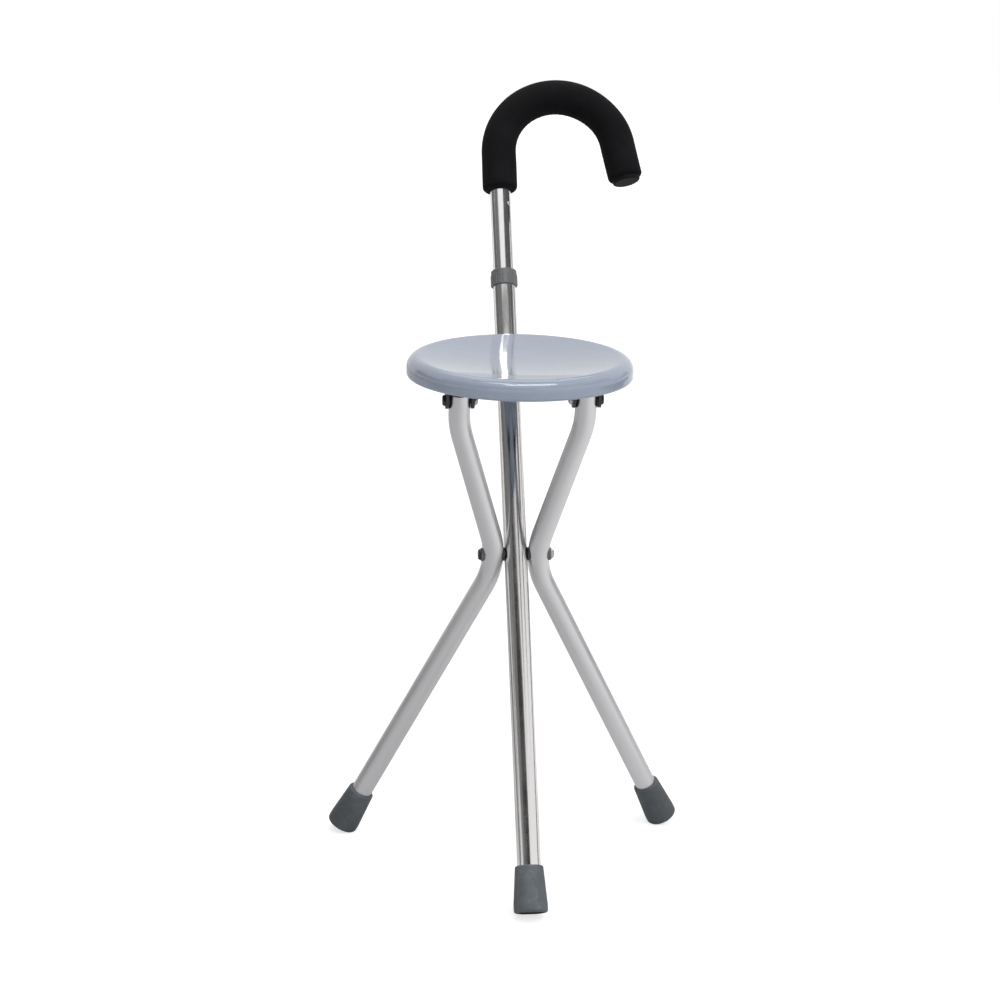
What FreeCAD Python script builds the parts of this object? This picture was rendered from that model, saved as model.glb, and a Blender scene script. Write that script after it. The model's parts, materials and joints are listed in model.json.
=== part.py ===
"""Walking stick seat, open as a tripod stool.

Millimetres, +Z up, +X to the user's right, origin on the floor under the
middle of the outline.  The main pole leans back and stands on the front tip.
Two bent legs share one hub axle with it, lean forward at the top and carry
the round seat on two pivots.  A fork under the back of the seat straddles
the pole and drops on the trunnions of a catch collar.  Folding turns the legs
about the hub and the seat about the leg tops, both on axes along X.
"""
import FreeCAD, Part
import math
import os

from FreeCAD import Vector

# Open frame
hub_height = 326.0          # hub axle above the floor
hub_y = -36.4               # hub axle from the middle of the outline
pole_lean = 30.0            # degrees from upright, top to the back
leg_lean = 11.0             # degrees from upright, top to the front
leg_pivot_rise = 175.0      # hub axle to seat pivots, along the legs
leg_top_half = 64.0         # middle of the seat to each leg top
leg_splay_low = 26.2        # lower part of a leg, degrees outwards
leg_splay_high = 16.5       # upper part of a leg, degrees outwards
hub_bend_r = 80.0
top_bend_r = 90.0

# Tubes
handle_od = 22.0
handle_wall = 1.2
pole_wall = 0.9
slide_clearance = 0.10      # handle tube inside the pole, radial
leg_od = 22.0
leg_wall = 1.2
pole_rise = 297.0           # hub axle to the pole's open top
leg_past_pivot = 8.0        # leg tube above its pivot hole

# Fits
running = 0.05              # radial, pins and shafts that turn
seated = 0.05               # radial, pieces pushed or glued together
free_gap = 0.30             # between pieces that pass each other

# Hub
hub_gap = 0.8               # pole to leg tube, along the axle
axle_d = 6.0
bush_wall = 1.5
spacer_d = 14.0             # spacers and saddle washers
bolt_head_af = 10.0
bolt_head_h = 3.0
nut_h = 3.2
washer_t = 1.2              # saddle washer between leg tube and bolt head or nut
bolt_end = 0.5              # bolt past its nut

# Rubber tips
tip_height = 47.0
tip_base = 12.0
pole_tip_wall = 2.3
leg_tip_wall = 2.8
pole_sole_d = 34.5
leg_sole_d = 33.0
tip_edge_r = 2.5
tip_lip_r = 2.0
tip_band = 9.0              # height of the widest part above the sole
sole_bedding = 0.8          # depth of the flat that a tip stands on
sole_rim = 4.5              # solid rim round the hollow sole
tread_depth = 3.0
tread_drop = 1.0            # tread below the rim
tip_washer_t = 1.5
tip_washer_gap = 1.0        # washer edge to the inside of the rubber

# Handle
grip_start = 398.0          # hub axle to the lower end of the foam
crook_rise = 440.0          # hub axle to the middle of the crook's bend
crook_r = 65.0
crook_open = 10.5           # degrees that the free end points outwards
crook_end = 41.0            # straight foam after the bend
grip_od = 37.0
grip_edge_r = 4.5
plug_head_t = 4.0
plug_head_edge = 1.0        # foam radius past the plug's head
plug_stem = 14.0
rivet_rise = 381.0
rivet_turn = 45.0           # degrees round from the front to the right
rivet_head_r = 2.3
rivet_head_h = 1.1
rivet_d = 3.2

# Height adjustment
button_rise = 227.0         # button, hub axle to its hole as shown
hole_pitch = 25.0
holes_each_way = 2
button_d = 6.0
button_clearance = 0.3
button_proud = 2.6          # button past the pole's skin
strip_w = 8.0
strip_t = 0.8
strip_tail = 6.0            # strip past the button, towards the open end
strip_arch = 13.0           # button to the start of the arch
guide_len = 12.0
guide_flange = 3.0
tube_past_button = 20.0

# Lock collar
collet_wall = 0.8
collet_skirt = 5.9
collet_rise = 8.0
collet_slots = 4
collet_slot_w = 1.4
collet_slot_base = 2.5
collar_wall = 1.35
collar_len = 17.0
collar_clearance = 0.07
collar_overlap = 6.7        # collar below the pole's top
collar_flutes = 14
flute_r = 1.0
collar_neck = 5.0           # plain ring above the flutes
collar_neck_step = 0.7
collar_chamfer = 0.6

# Seat
seat_d = 230.0
seat_rim_h = 20.5
seat_dish = 8.0             # the top dips this far in the middle
seat_skin = 3.5
seat_edge_r = 12.0
seat_foot_r = 3.0
seat_rim_w = 10.0
seat_centre_back = 31.4     # seat pivots to the middle of the seat
seat_above_pivot = 17.5     # seat pivots to the seat's underside
notch_gap = 3.0             # seat to pole round the notch
notch_wall = 3.5
rib_t = 2.5
rib_count = 12
rib_ring_r = 46.0
rib_lift = 4.0              # ribs stop this far above the underside
boss_r = 5.0

# Seat brackets
plate_t = 2.5
ear_t = 3.0
ear_gap = 0.4               # leg tube to ear
ear_r = 8.5
bracket_len = 40.0
bracket_lip = 9.0           # base plate past each ear
screw_d = 3.5
screw_len = 11.0
screw_head_r = 3.4
screw_head_h = 2.0
screw_inset = 5.5           # screw to the plate's edge
cap_head = 2.0
cap_stem = 5.0

# Catch
catch_drop = 31.0           # seat's underside to the catch's trunnions, down the pole
catch_h = 13.0
catch_wall = 4.45
trunnion_d = 8.0
trunnion_flange = 1.2
flange_extra = 1.6
lug_out = 10.0
lug_w = 6.0
lug_gap = 2.0
clamp_d = 4.0
clamp_head_d = 7.0
clamp_head_h = 2.8
clamp_nut_af = 7.0
clamp_nut_h = 3.2
cheek_t = 3.0
cheek_gap = 0.7             # catch collar to cheek
hook_r = 9.5
slot_dir = 50.0             # slot below level, opening to the front
slot_clearance = 0.3
fork_front = 50.0           # from the middle of the seat back to the plate
fork_len = 30.0
fork_flange = 13.0

# Sizes that follow
pole_od = handle_od + 2 * (slide_clearance + pole_wall)
hub_half = pole_od / 2 + hub_gap + leg_od / 2
hub = Vector(0, hub_y, hub_height)
bush_d = axle_d + 2 * (running + bush_wall)
seat_rise = leg_pivot_rise * math.cos(math.radians(leg_lean)) + seat_above_pivot
catch_rise = seat_rise / math.cos(math.radians(pole_lean)) - catch_drop
fork_half = pole_od / 2 + seated + catch_wall + cheek_gap + cheek_t
far = 400.0                 # longer than anything that is cut through


def rad(angle):
    return math.radians(angle)


def on_pole(shape):
    """From the pole's own frame, z up the pole and y to its back."""
    shape.rotate(Vector(0, 0, 0), Vector(1, 0, 0), -pole_lean)
    shape.translate(hub)
    return shape


def on_legs(shape):
    """From the leg plane's frame, z up the legs."""
    shape.rotate(Vector(0, 0, 0), Vector(1, 0, 0), leg_lean)
    shape.translate(hub)
    return shape


def seat_pivot():
    drop = rad(leg_lean)
    return hub + Vector(0, -leg_pivot_rise * math.sin(drop), leg_pivot_rise * math.cos(drop))


def on_seat(shape):
    """From the seat's frame, origin between its two pivots."""
    shape.translate(seat_pivot())
    return shape


def mirrored(shape):
    return shape.mirror(Vector(0, 0, 0), Vector(1, 0, 0))


def rod(radius, start, end):
    """Solid cylinder from start to end."""
    axis = end - start
    return Part.makeCylinder(radius, axis.Length, start, axis)


def cross_rod(radius, x0, x1, y=0.0, z=0.0):
    return rod(radius, Vector(x0, y, z), Vector(x1, y, z))


def ring(outer, inner, z0, z1):
    axis = Vector(0, 0, 1)
    base = Vector(0, 0, z0)
    return Part.makeCylinder(outer, z1 - z0, base, axis).cut(Part.makeCylinder(inner, z1 - z0, base, axis))


def block(x0, x1, y0, y1, z0, z1):
    return Part.makeBox(x1 - x0, y1 - y0, z1 - z0, Vector(x0, y0, z0))


def line(a, b):
    return Part.LineSegment(a, b).toShape()


def arc(a, middle, b):
    return Part.Arc(a, middle, b).toShape()


def turned(edges):
    """Solid of revolution about Z from a closed outline in the XZ plane."""
    return Part.Face(Part.Wire(edges)).revolve(Vector(0, 0, 0), Vector(0, 0, 1), 360)


def swept(path, radius):
    """Round bar along a path of straight runs and tangent arcs."""
    first = path.Edges[0]
    start = first.valueAt(first.FirstParameter)
    along = first.tangentAt(first.FirstParameter)
    section = Part.Wire(Part.makeCircle(radius, start, along))
    return path.makePipeShell([section], True, False)


def hexagon(af, x0, x1, y=0.0, z=0.0):
    """Hexagonal prism along X with its corners turned off."""
    corner = af / math.sqrt(3)
    points = [Vector(x0, y + corner * math.cos(rad(60 * k)), z + corner * math.sin(rad(60 * k))) for k in range(7)]
    prism = Part.Face(Part.makePolygon(points)).extrude(Vector(x1 - x0, 0, 0))
    bevel = min(0.12 * af, 0.4 * abs(x1 - x0))
    cone = Part.makeCone(corner + bevel, corner - bevel, abs(x1 - x0), Vector(x0, y, z), Vector(x1 - x0, 0, 0))
    return prism.common(cone)


# Rubber tips

def sole_height(sole_r, tilt):
    """Height of the sole's centre when the tilted tip stands on its edge."""
    return (sole_r - tip_edge_r) * math.sin(tilt) + tip_edge_r * (1 - math.cos(tilt)) - sole_bedding


def tip_shape(tube_od, wall, sole_d):
    """Tapered rubber cup with a ring and a stud in its hollow sole, sole at z 0."""
    sole_r = sole_d / 2
    top_r = tube_od / 2 + wall
    bore_r = tube_od / 2 + seated
    diagonal = math.sqrt(0.5)
    edge_mid = Vector(sole_r - tip_edge_r * (1 - diagonal), 0, tip_edge_r * (1 - diagonal))
    lip_mid = Vector(top_r - tip_lip_r * (1 - diagonal), 0, tip_height - tip_lip_r * (1 - diagonal))
    centre = Vector(0, 0, 0)
    sole = Vector(sole_r - tip_edge_r, 0, 0)
    side = Vector(sole_r, 0, tip_edge_r)
    band = Vector(sole_r, 0, tip_band)
    lip = Vector(top_r, 0, tip_height - tip_lip_r)
    lip_top = Vector(top_r - tip_lip_r, 0, tip_height)
    mouth = Vector(bore_r, 0, tip_height)
    floor_edge = Vector(bore_r, 0, tip_base)
    floor_mid = Vector(0, 0, tip_base)
    body = turned([
        line(centre, sole), arc(sole, edge_mid, side), line(side, band), line(band, lip),
        arc(lip, lip_mid, lip_top), line(lip_top, mouth), line(mouth, floor_edge),
        line(floor_edge, floor_mid), line(floor_mid, centre)])
    hollow_r = sole_r - sole_rim
    hollow = Part.makeCylinder(hollow_r, tread_depth)
    hollow = hollow.cut(ring(hollow_r * 0.72, hollow_r * 0.50, tread_drop, tread_depth))
    stud = Part.makeCylinder(hollow_r * 0.25, tread_depth - tread_drop, Vector(0, 0, tread_drop))
    return body.cut(hollow.cut(stud))


def tip_washer(tube_od):
    return rod(tube_od / 2 - tip_washer_gap, Vector(0, 0, tip_base), Vector(0, 0, tip_base + tip_washer_t))


def above_floor(shape):
    """Trims the rubber to the small flat that it stands on."""
    return shape.cut(block(-far, far, -far, far, -far, 0))


tube_start = tip_base + tip_washer_t
pole_foot = (sole_height(pole_sole_d / 2, rad(pole_lean)) - hub_height) / math.cos(rad(pole_lean))


# Main pole and what it carries

def main_pole():
    tube = ring(pole_od / 2, pole_od / 2 - pole_wall, pole_foot + tube_start, pole_rise)
    tube = tube.cut(cross_rod(bush_d / 2, -pole_od, pole_od))
    hole_r = button_d / 2 + button_clearance
    for step in range(-holes_each_way, holes_each_way + 1):
        z = button_rise + step * hole_pitch
        tube = tube.cut(rod(hole_r, Vector(0, 0, z), Vector(0, pole_od, z)))
    return on_pole(tube)


def tube_bush(skin, x=0.0, z=0.0):
    """Bush along X through a tube, its ends flush with the tube's skin."""
    bush = cross_rod(bush_d / 2, x - pole_od, x + pole_od, 0, z).common(skin)
    return bush.cut(cross_rod(axle_d / 2 + running, x - pole_od, x + pole_od, 0, z))


def pole_hub_bush():
    skin = Part.makeCylinder(pole_od / 2, pole_od, Vector(0, 0, -pole_od / 2))
    return on_pole(tube_bush(skin))


def pole_tip():
    tip = tip_shape(pole_od, pole_tip_wall, pole_sole_d)
    tip.translate(Vector(0, 0, pole_foot))
    return above_floor(on_pole(tip))


def pole_tip_washer():
    washer = tip_washer(pole_od)
    washer.translate(Vector(0, 0, pole_foot))
    return on_pole(washer)


collet_r = pole_od / 2 + seated + collet_wall


def collet_bush():
    """Skirt glued on the pole's top, with slotted fingers round the handle tube."""
    skirt = ring(collet_r, pole_od / 2 + seated, pole_rise - collet_skirt, pole_rise)
    fingers = ring(collet_r, handle_od / 2 + running, pole_rise, pole_rise + collet_rise)
    for k in range(collet_slots):
        slot = block(-collet_slot_w / 2, collet_slot_w / 2, 0, pole_od, pole_rise + collet_slot_base, pole_rise + far)
        slot.rotate(Vector(0, 0, 0), Vector(0, 0, 1), 45 + 360 * k / collet_slots)
        fingers = fingers.cut(slot)
    return on_pole(skirt.fuse(fingers).removeSplitter())


def lock_collar():
    """Fluted nut that squeezes the collet, free of the handle tube above it."""
    low = pole_rise - collar_overlap
    high = low + collar_len
    neck = high - collar_neck
    bore_r = collet_r + collar_clearance
    outer_r = bore_r + collar_wall
    neck_r = outer_r - collar_neck_step
    lid = pole_rise + collet_rise + free_gap
    mouth_r = handle_od / 2 + free_gap
    corners = [
        (bore_r, low), (outer_r - collar_chamfer, low), (outer_r, low + collar_chamfer),
        (outer_r, neck - collar_chamfer), (neck_r, neck), (neck_r, high - collar_chamfer),
        (neck_r - collar_chamfer, high), (mouth_r, high), (mouth_r, lid), (bore_r, lid), (bore_r, low)]
    points = [Vector(r, 0, z) for r, z in corners]
    collar = turned([line(a, b) for a, b in zip(points, points[1:])])
    for k in range(collar_flutes):
        angle = rad(360 * k / collar_flutes)
        x = (outer_r + flute_r / 2) * math.cos(angle)
        y = (outer_r + flute_r / 2) * math.sin(angle)
        collar = collar.cut(rod(flute_r, Vector(x, y, low - 1), Vector(x, y, neck - 2 * collar_chamfer)))
    return on_pole(collar)


# Catch collar with its trunnions and clamp screw

catch_r = pole_od / 2 + seated + catch_wall
cheek_in = catch_r + cheek_gap
cheek_out = cheek_in + cheek_t
lug_y = catch_r + lug_out / 2


def catch_collar():
    low = catch_rise - catch_h / 2
    high = catch_rise + catch_h / 2
    lug_half = lug_gap / 2 + lug_w
    body = Part.makeCylinder(catch_r, catch_h, Vector(0, 0, low))
    body = body.fuse(block(-lug_half, lug_half, 0, catch_r + lug_out, low, high))
    flange_in = cheek_out + free_gap
    for side in (-1, 1):
        body = body.fuse(cross_rod(trunnion_d / 2, 0, side * (flange_in + trunnion_flange), 0, catch_rise))
        body = body.fuse(cross_rod(
            trunnion_d / 2 + flange_extra, side * flange_in, side * (flange_in + trunnion_flange), 0, catch_rise))
    body = body.cut(Part.makeCylinder(pole_od / 2 + seated, catch_h, Vector(0, 0, low)))
    body = body.cut(block(-lug_gap / 2, lug_gap / 2, 0, far, low, high))
    body = body.cut(cross_rod(clamp_d / 2 + seated, -far, far, lug_y, catch_rise))
    return on_pole(body.removeSplitter())


def catch_screw():
    lug_half = lug_gap / 2 + lug_w
    shank = cross_rod(clamp_d / 2, -lug_half, lug_half + clamp_nut_h + bolt_end, lug_y, catch_rise)
    head = cross_rod(clamp_head_d / 2, -lug_half - clamp_head_h, -lug_half, lug_y, catch_rise)
    socket = hexagon(clamp_d * 0.75, -lug_half - clamp_head_h, -lug_half - clamp_head_h / 2, lug_y, catch_rise)
    return on_pole(shank.fuse(head).cut(socket).removeSplitter())


def catch_nut():
    lug_half = lug_gap / 2 + lug_w
    nut = hexagon(clamp_nut_af, lug_half, lug_half + clamp_nut_h, lug_y, catch_rise)
    return on_pole(nut.cut(cross_rod(clamp_d / 2 + seated, 0, far, lug_y, catch_rise)))


# Handle

def crook_path(start, end_run):
    """Straight up the pole, round the crook and out along its free end."""
    open_angle = rad(crook_open)
    a = Vector(0, 0, start)
    b = Vector(0, 0, crook_rise)
    top = rad(90 + crook_open / 2)
    mid = Vector(crook_r * (1 + math.cos(top)), 0, crook_rise + crook_r * math.sin(top))
    c = Vector(crook_r * (1 + math.cos(open_angle)), 0, crook_rise + crook_r * math.sin(open_angle))
    d = c + Vector(math.sin(open_angle), 0, -math.cos(open_angle)) * end_run
    return Part.Wire([line(a, b), arc(b, mid, c), line(c, d)])


def at_crook_end(shape):
    """Sets a shape built along +Z from the foam's free end on that end."""
    out = rad(crook_open)
    shape.rotate(Vector(0, 0, 0), Vector(0, 1, 0), 180 - crook_open)
    end = Vector(crook_r * (1 + math.cos(out)), 0, crook_rise + crook_r * math.sin(out))
    shape.translate(end + Vector(math.sin(out), 0, -math.cos(out)) * crook_end)
    return shape


tube_low = button_rise - tube_past_button


def handle_tube():
    tube = swept(crook_path(tube_low, crook_end), handle_od / 2)
    tube = tube.cut(swept(crook_path(tube_low, crook_end), handle_od / 2 - handle_wall))
    hole_r = button_d / 2 + button_clearance
    tube = tube.cut(rod(hole_r, Vector(0, 0, button_rise), Vector(0, handle_od, button_rise)))
    tube = tube.cut(rivet_pin(rivet_d / 2 + seated))
    return on_pole(tube)


def foam_grip():
    grip = swept(crook_path(grip_start, crook_end), grip_od / 2)
    ends = [edge for edge in grip.Edges if len(edge.Vertexes) == 1 and is_grip_end(edge)]
    grip = grip.makeFillet(grip_edge_r, ends)
    return on_pole(grip.cut(swept(crook_path(grip_start, crook_end), handle_od / 2 + seated)))


def is_grip_end(edge):
    """True for the two outer end circles of the foam."""
    middle = edge.BoundBox.Center
    out = rad(crook_open)
    free = Vector(crook_r * (1 + math.cos(out)), 0, crook_rise + crook_r * math.sin(out))
    free = free + Vector(math.sin(out), 0, -math.cos(out)) * crook_end
    ends = (Vector(0, 0, grip_start), free)
    return any((middle - end).Length < 0.01 for end in ends)


def grip_end_plug():
    """Domed cap with a stem pushed into the tube's free end."""
    head = Part.makeCylinder(grip_od / 2 - grip_edge_r + plug_head_edge, plug_head_t)
    rim = [edge for edge in head.Edges if abs(edge.BoundBox.ZMin - plug_head_t) < 0.01]
    head = head.makeFillet(plug_head_t * 0.7, rim)
    stem = rod(handle_od / 2 - handle_wall - seated, Vector(0, 0, 0), Vector(0, 0, -plug_stem))
    return on_pole(at_crook_end(head.fuse(stem).removeSplitter()))


def guide_plug():
    """Nylon foot that guides the handle tube down inside the pole."""
    stem = Part.makeCylinder(handle_od / 2 - handle_wall - seated, guide_len, Vector(0, 0, tube_low))
    flange = Part.makeCylinder(handle_od / 2, guide_flange, Vector(0, 0, tube_low - guide_flange))
    return on_pole(stem.fuse(flange).removeSplitter())


def rivet_dir():
    return Vector(math.sin(rad(rivet_turn)), -math.cos(rad(rivet_turn)), 0)


def rivet_pin(radius):
    base = Vector(0, 0, rivet_rise)
    inside = handle_od / 2 - 2 * handle_wall
    return rod(radius, base + rivet_dir() * inside, base + rivet_dir() * (handle_od / 2))


def stop_rivet():
    """Small rivet that keeps the handle tube from dropping into the pole."""
    base = Vector(0, 0, rivet_rise) + rivet_dir() * (handle_od / 2)
    sphere_r = (rivet_head_r ** 2 + rivet_head_h ** 2) / (2 * rivet_head_h)
    ball = Part.makeSphere(sphere_r, base + rivet_dir() * (rivet_head_h - sphere_r))
    outside = Part.makeCylinder(sphere_r, sphere_r, base, rivet_dir())
    return on_pole(ball.common(outside).fuse(rivet_pin(rivet_d / 2)).removeSplitter())


def snap_button_clip():
    """Spring strip bent to an arch inside the handle tube, its button through both tubes."""
    inner_r = handle_od / 2 - handle_wall
    reach = math.sqrt(inner_r ** 2 - (strip_w / 2) ** 2) - seated
    low = button_rise - strip_tail
    arch = button_rise + strip_arch
    outer = Part.makeCylinder(reach, strip_w, Vector(-strip_w / 2, 0, arch), Vector(1, 0, 0))
    outer = outer.fuse(block(-strip_w / 2, strip_w / 2, -reach, reach, low, arch))
    bend_r = reach - strip_t
    inner = Part.makeCylinder(bend_r, strip_w, Vector(-strip_w / 2, 0, arch), Vector(1, 0, 0))
    inner = inner.fuse(block(-strip_w / 2, strip_w / 2, -bend_r, bend_r, low, arch))
    strip = outer.cut(inner)
    tip_y = pole_od / 2 + button_proud
    button = rod(button_d / 2, Vector(0, bend_r, button_rise), Vector(0, tip_y, button_rise))
    crown = [edge for edge in button.Edges if abs(edge.BoundBox.YMin - tip_y) < 0.01]
    button = button.makeFillet(button_d / 6, crown)
    return on_pole(strip.fuse(button).removeSplitter())


# Legs

def leg_path():
    """Centre line of the right leg tube in the leg plane, foot first."""
    low = rad(leg_splay_low)
    high = rad(leg_splay_high)
    centre_x = hub_half + hub_bend_r

    def hub_point(t):
        return Vector(centre_x - hub_bend_r * math.cos(t), 0, hub_bend_r * math.sin(t))

    down = Vector(math.sin(low), 0, -math.cos(low))
    foot = leg_sole() - down * tube_start
    p1 = hub_point(-low)
    p2 = hub_point(high)
    run = (leg_top_half - p2.x - top_bend_r * (1 - math.cos(high))) / math.sin(high)
    p3 = p2 + Vector(math.sin(high), 0, math.cos(high)) * run
    bend = p3 + Vector(-math.cos(high), 0, math.sin(high)) * top_bend_r
    p34 = bend + Vector(math.cos(high / 2), 0, -math.sin(high / 2)) * top_bend_r
    p4 = bend + Vector(top_bend_r, 0, 0)
    top = Vector(leg_top_half, 0, leg_pivot_rise + leg_past_pivot)
    return Part.Wire([
        line(foot, p1), arc(p1, hub_point((high - low) / 2), p2), line(p2, p3), arc(p3, p34, p4), line(p4, top)])


def leg_tilt():
    """Angle of the lower leg from upright, splay and lean together."""
    return math.acos(math.cos(rad(leg_splay_low)) * math.cos(rad(leg_lean)))


def leg_sole():
    """Middle of the right tip's sole in the leg plane."""
    low = rad(leg_splay_low)
    z = (sole_height(leg_sole_d / 2, leg_tilt()) - hub_height) / math.cos(rad(leg_lean))
    bend_x = hub_half + hub_bend_r * (1 - math.cos(low))
    bend_z = -hub_bend_r * math.sin(low)
    return Vector(bend_x + (bend_z - z) * math.tan(low), 0, z)


def leg_tube():
    tube = swept(leg_path(), leg_od / 2)
    tube = tube.cut(swept(leg_path(), leg_od / 2 - leg_wall))
    tube = tube.cut(cross_rod(bush_d / 2, hub_half - leg_od, hub_half + leg_od))
    return tube.cut(cross_rod(bush_d / 2, leg_top_half - leg_od, leg_top_half + leg_od, 0, leg_pivot_rise))


def on_leg_foot(shape):
    shape.rotate(Vector(0, 0, 0), Vector(0, 1, 0), -leg_splay_low)
    shape.translate(leg_sole())
    return shape


def leg_tip():
    return on_leg_foot(tip_shape(leg_od, leg_tip_wall, leg_sole_d))


def pair(shape):
    """A right-hand solid and its left-hand twin in one node."""
    return Part.makeCompound([shape, mirrored(shape)])


def leg_tip_washers():
    return on_legs(pair(on_leg_foot(tip_washer(leg_od))))


def leg_spacers():
    """Washers hollowed to the leg tube, flat on the side of the pole."""
    inner = pole_od / 2 + hub_gap / 8
    spacer = cross_rod(spacer_d / 2, inner, hub_half).cut(swept(leg_path(), leg_od / 2 + seated))
    return on_legs(pair(spacer.cut(cross_rod(axle_d / 2 + running, 0, hub_half + leg_od))))


def leg_hub_bushes():
    return on_legs(pair(tube_bush(swept(leg_path(), leg_od / 2), hub_half)))


def leg_pivot_bushes():
    return on_legs(pair(tube_bush(swept(leg_path(), leg_od / 2), leg_top_half, leg_pivot_rise)))


def leg_top_caps():
    top = leg_pivot_rise + leg_past_pivot
    cap = rod(leg_od / 2, Vector(leg_top_half, 0, top), Vector(leg_top_half, 0, top + cap_head))
    crown = [edge for edge in cap.Edges if abs(edge.BoundBox.ZMin - top - cap_head) < 0.01]
    cap = cap.makeFillet(cap_head / 2, crown)
    hole_top = leg_pivot_rise + bush_d / 2
    stem_low = max(top - cap_stem, hole_top + free_gap)
    stem = rod(leg_od / 2 - leg_wall - seated, Vector(leg_top_half, 0, stem_low), Vector(leg_top_half, 0, top))
    return on_legs(pair(cap.fuse(stem).removeSplitter()))


saddle_face = hub_half + leg_od / 2 + seated + washer_t


def hub_axle_washers():
    """Washers hollowed to the outside of the leg tube, flat under the bolt's head and nut."""
    washer = cross_rod(spacer_d / 2, hub_half, saddle_face).cut(swept(leg_path(), leg_od / 2 + seated))
    return on_legs(pair(washer.cut(cross_rod(axle_d / 2 + seated, 0, far))))


def hub_axle_bolt():
    head = hexagon(bolt_head_af, -saddle_face, -saddle_face - bolt_head_h)
    shank = cross_rod(axle_d / 2, -saddle_face, saddle_face + nut_h + bolt_end)
    return on_legs(head.fuse(shank).removeSplitter())


def hub_axle_nut():
    return on_legs(lock_nut(saddle_face, 1, 0, 0))


def lock_nut(x, side, y, z):
    """Hexagon nut with a round collar on its outer end."""
    hex_h = nut_h * 0.7
    nut = hexagon(bolt_head_af, x, x + side * hex_h, y, z)
    nut = nut.fuse(cross_rod(bolt_head_af * 0.42, x, x + side * nut_h, y, z))
    return nut.cut(cross_rod(axle_d / 2 + seated, x - side, x + side * far, y, z)).removeSplitter()


# Seat.  Its frame starts between the two pivots.

seat_low = seat_above_pivot
seat_top = seat_low + seat_rim_h
pole_dir = Vector(0, math.sin(rad(pole_lean)), math.cos(rad(pole_lean)))


def seat_point(r, z):
    return Vector(r, 0, seat_low + z)


def seat_body(hollow):
    """The moulded seat as a solid of revolution, with or without its hollow underside.

    The dished top is part of a ball that touches the rounded edge from above:
    its centre is on the axis, as far from the edge's centre as both radii.
    """
    rim = seat_d / 2
    edge = rim - seat_edge_r
    foot = rim - seat_foot_r
    ball = (edge ** 2 + (seat_edge_r - seat_dish) ** 2 - seat_edge_r ** 2) / (2 * seat_dish)
    ball_z = seat_rim_h - seat_dish + ball

    def dish(r, offset=0.0):
        return seat_point(r, ball_z - math.sqrt((ball + offset) ** 2 - r ** 2))

    crest = edge - edge * seat_edge_r / (ball + seat_edge_r)
    diagonal = math.sqrt(0.5)
    edge_mid = seat_point(edge + seat_edge_r * diagonal, seat_rim_h - seat_edge_r * (1 - diagonal))
    foot_mid = seat_point(foot + seat_foot_r * diagonal, seat_foot_r * (1 - diagonal))
    edges = [
        arc(dish(0), dish(crest / 2), dish(crest)),
        arc(dish(crest), edge_mid, seat_point(rim, seat_rim_h - seat_edge_r)),
        line(seat_point(rim, seat_rim_h - seat_edge_r), seat_point(rim, seat_foot_r)),
        arc(seat_point(rim, seat_foot_r), foot_mid, seat_point(foot, 0))]
    if hollow:
        inside = rim - seat_rim_w
        edges += [
            line(seat_point(foot, 0), seat_point(inside, 0)),
            line(seat_point(inside, 0), dish(inside, seat_skin)),
            arc(dish(inside, seat_skin), dish(inside / 2, seat_skin), dish(0, seat_skin)),
            line(dish(0, seat_skin), dish(0))]
    else:
        edges += [
            line(seat_point(foot, 0), seat_point(0, 0)),
            line(seat_point(0, 0), dish(0))]
    body = turned(edges)
    body.translate(Vector(0, seat_centre_back, 0))
    return body


def pole_space(radius):
    """Room round the leaning pole, open to the back, in the seat's frame."""
    base = hub - seat_pivot()
    low = base + pole_dir * (pole_rise / 3)
    high = base + pole_dir * (pole_rise * 1.3)
    space = rod(radius, low, high)
    behind = rod(radius, low, high)
    behind.translate(Vector(0, far / 4, 0))
    sheet = Part.makePolygon([
        low + Vector(-radius, 0, 0), low + Vector(radius, 0, 0), high + Vector(radius, 0, 0),
        high + Vector(-radius, 0, 0), low + Vector(-radius, 0, 0)])
    between = Part.Face(sheet).extrude(Vector(0, far / 4, 0))
    return space.fuse([behind, between])


def bracket_screw_places():
    """Screw places of the right bracket, then of the fork, in the seat's frame."""
    plate_in, plate_out = bracket_span()
    y = bracket_len / 2 - screw_inset
    xs = (plate_in + screw_inset, plate_out - screw_inset)
    return [(x, sign * y) for x in xs for sign in (-1, 1)]


def bracket_span():
    half = leg_od / 2 + ear_gap + ear_t + bracket_lip
    return leg_top_half - half, leg_top_half + half


def fork_screw_places():
    x = fork_half + fork_flange - screw_inset
    front = seat_centre_back + fork_front
    return [(side * x, y) for side in (-1, 1) for y in (front + screw_inset, front + fork_len - screw_inset)]


def seat_shell():
    envelope = seat_body(False)
    shell = seat_body(True)
    ribs = ring(rib_ring_r + rib_t / 2, rib_ring_r - rib_t / 2, seat_low + rib_lift, seat_top)
    for k in range(rib_count):
        rib = block(0, seat_d / 2, -rib_t / 2, rib_t / 2, seat_low + rib_lift, seat_top)
        rib.rotate(Vector(0, 0, 0), Vector(0, 0, 1), 360 * (k + 0.5) / rib_count)
        ribs = ribs.fuse(rib)
    ribs.translate(Vector(0, seat_centre_back, 0))
    places = bracket_screw_places()
    places += [(-x, y) for x, y in places] + fork_screw_places()
    bosses = [Part.makeCylinder(boss_r, seat_rim_h, Vector(x, y, seat_low)) for x, y in places]
    notch_r = pole_od / 2 + notch_gap
    inside = ribs.fuse(bosses + [pole_space(notch_r + notch_wall)]).common(envelope)
    shell = shell.fuse(inside).cut(pole_space(notch_r))
    pilot = screw_d / 2 + seated
    for x, y in places:
        shell = shell.cut(Part.makeCylinder(pilot, screw_len, Vector(x, y, seat_low)))
    return on_seat(shell.removeSplitter())


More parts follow.
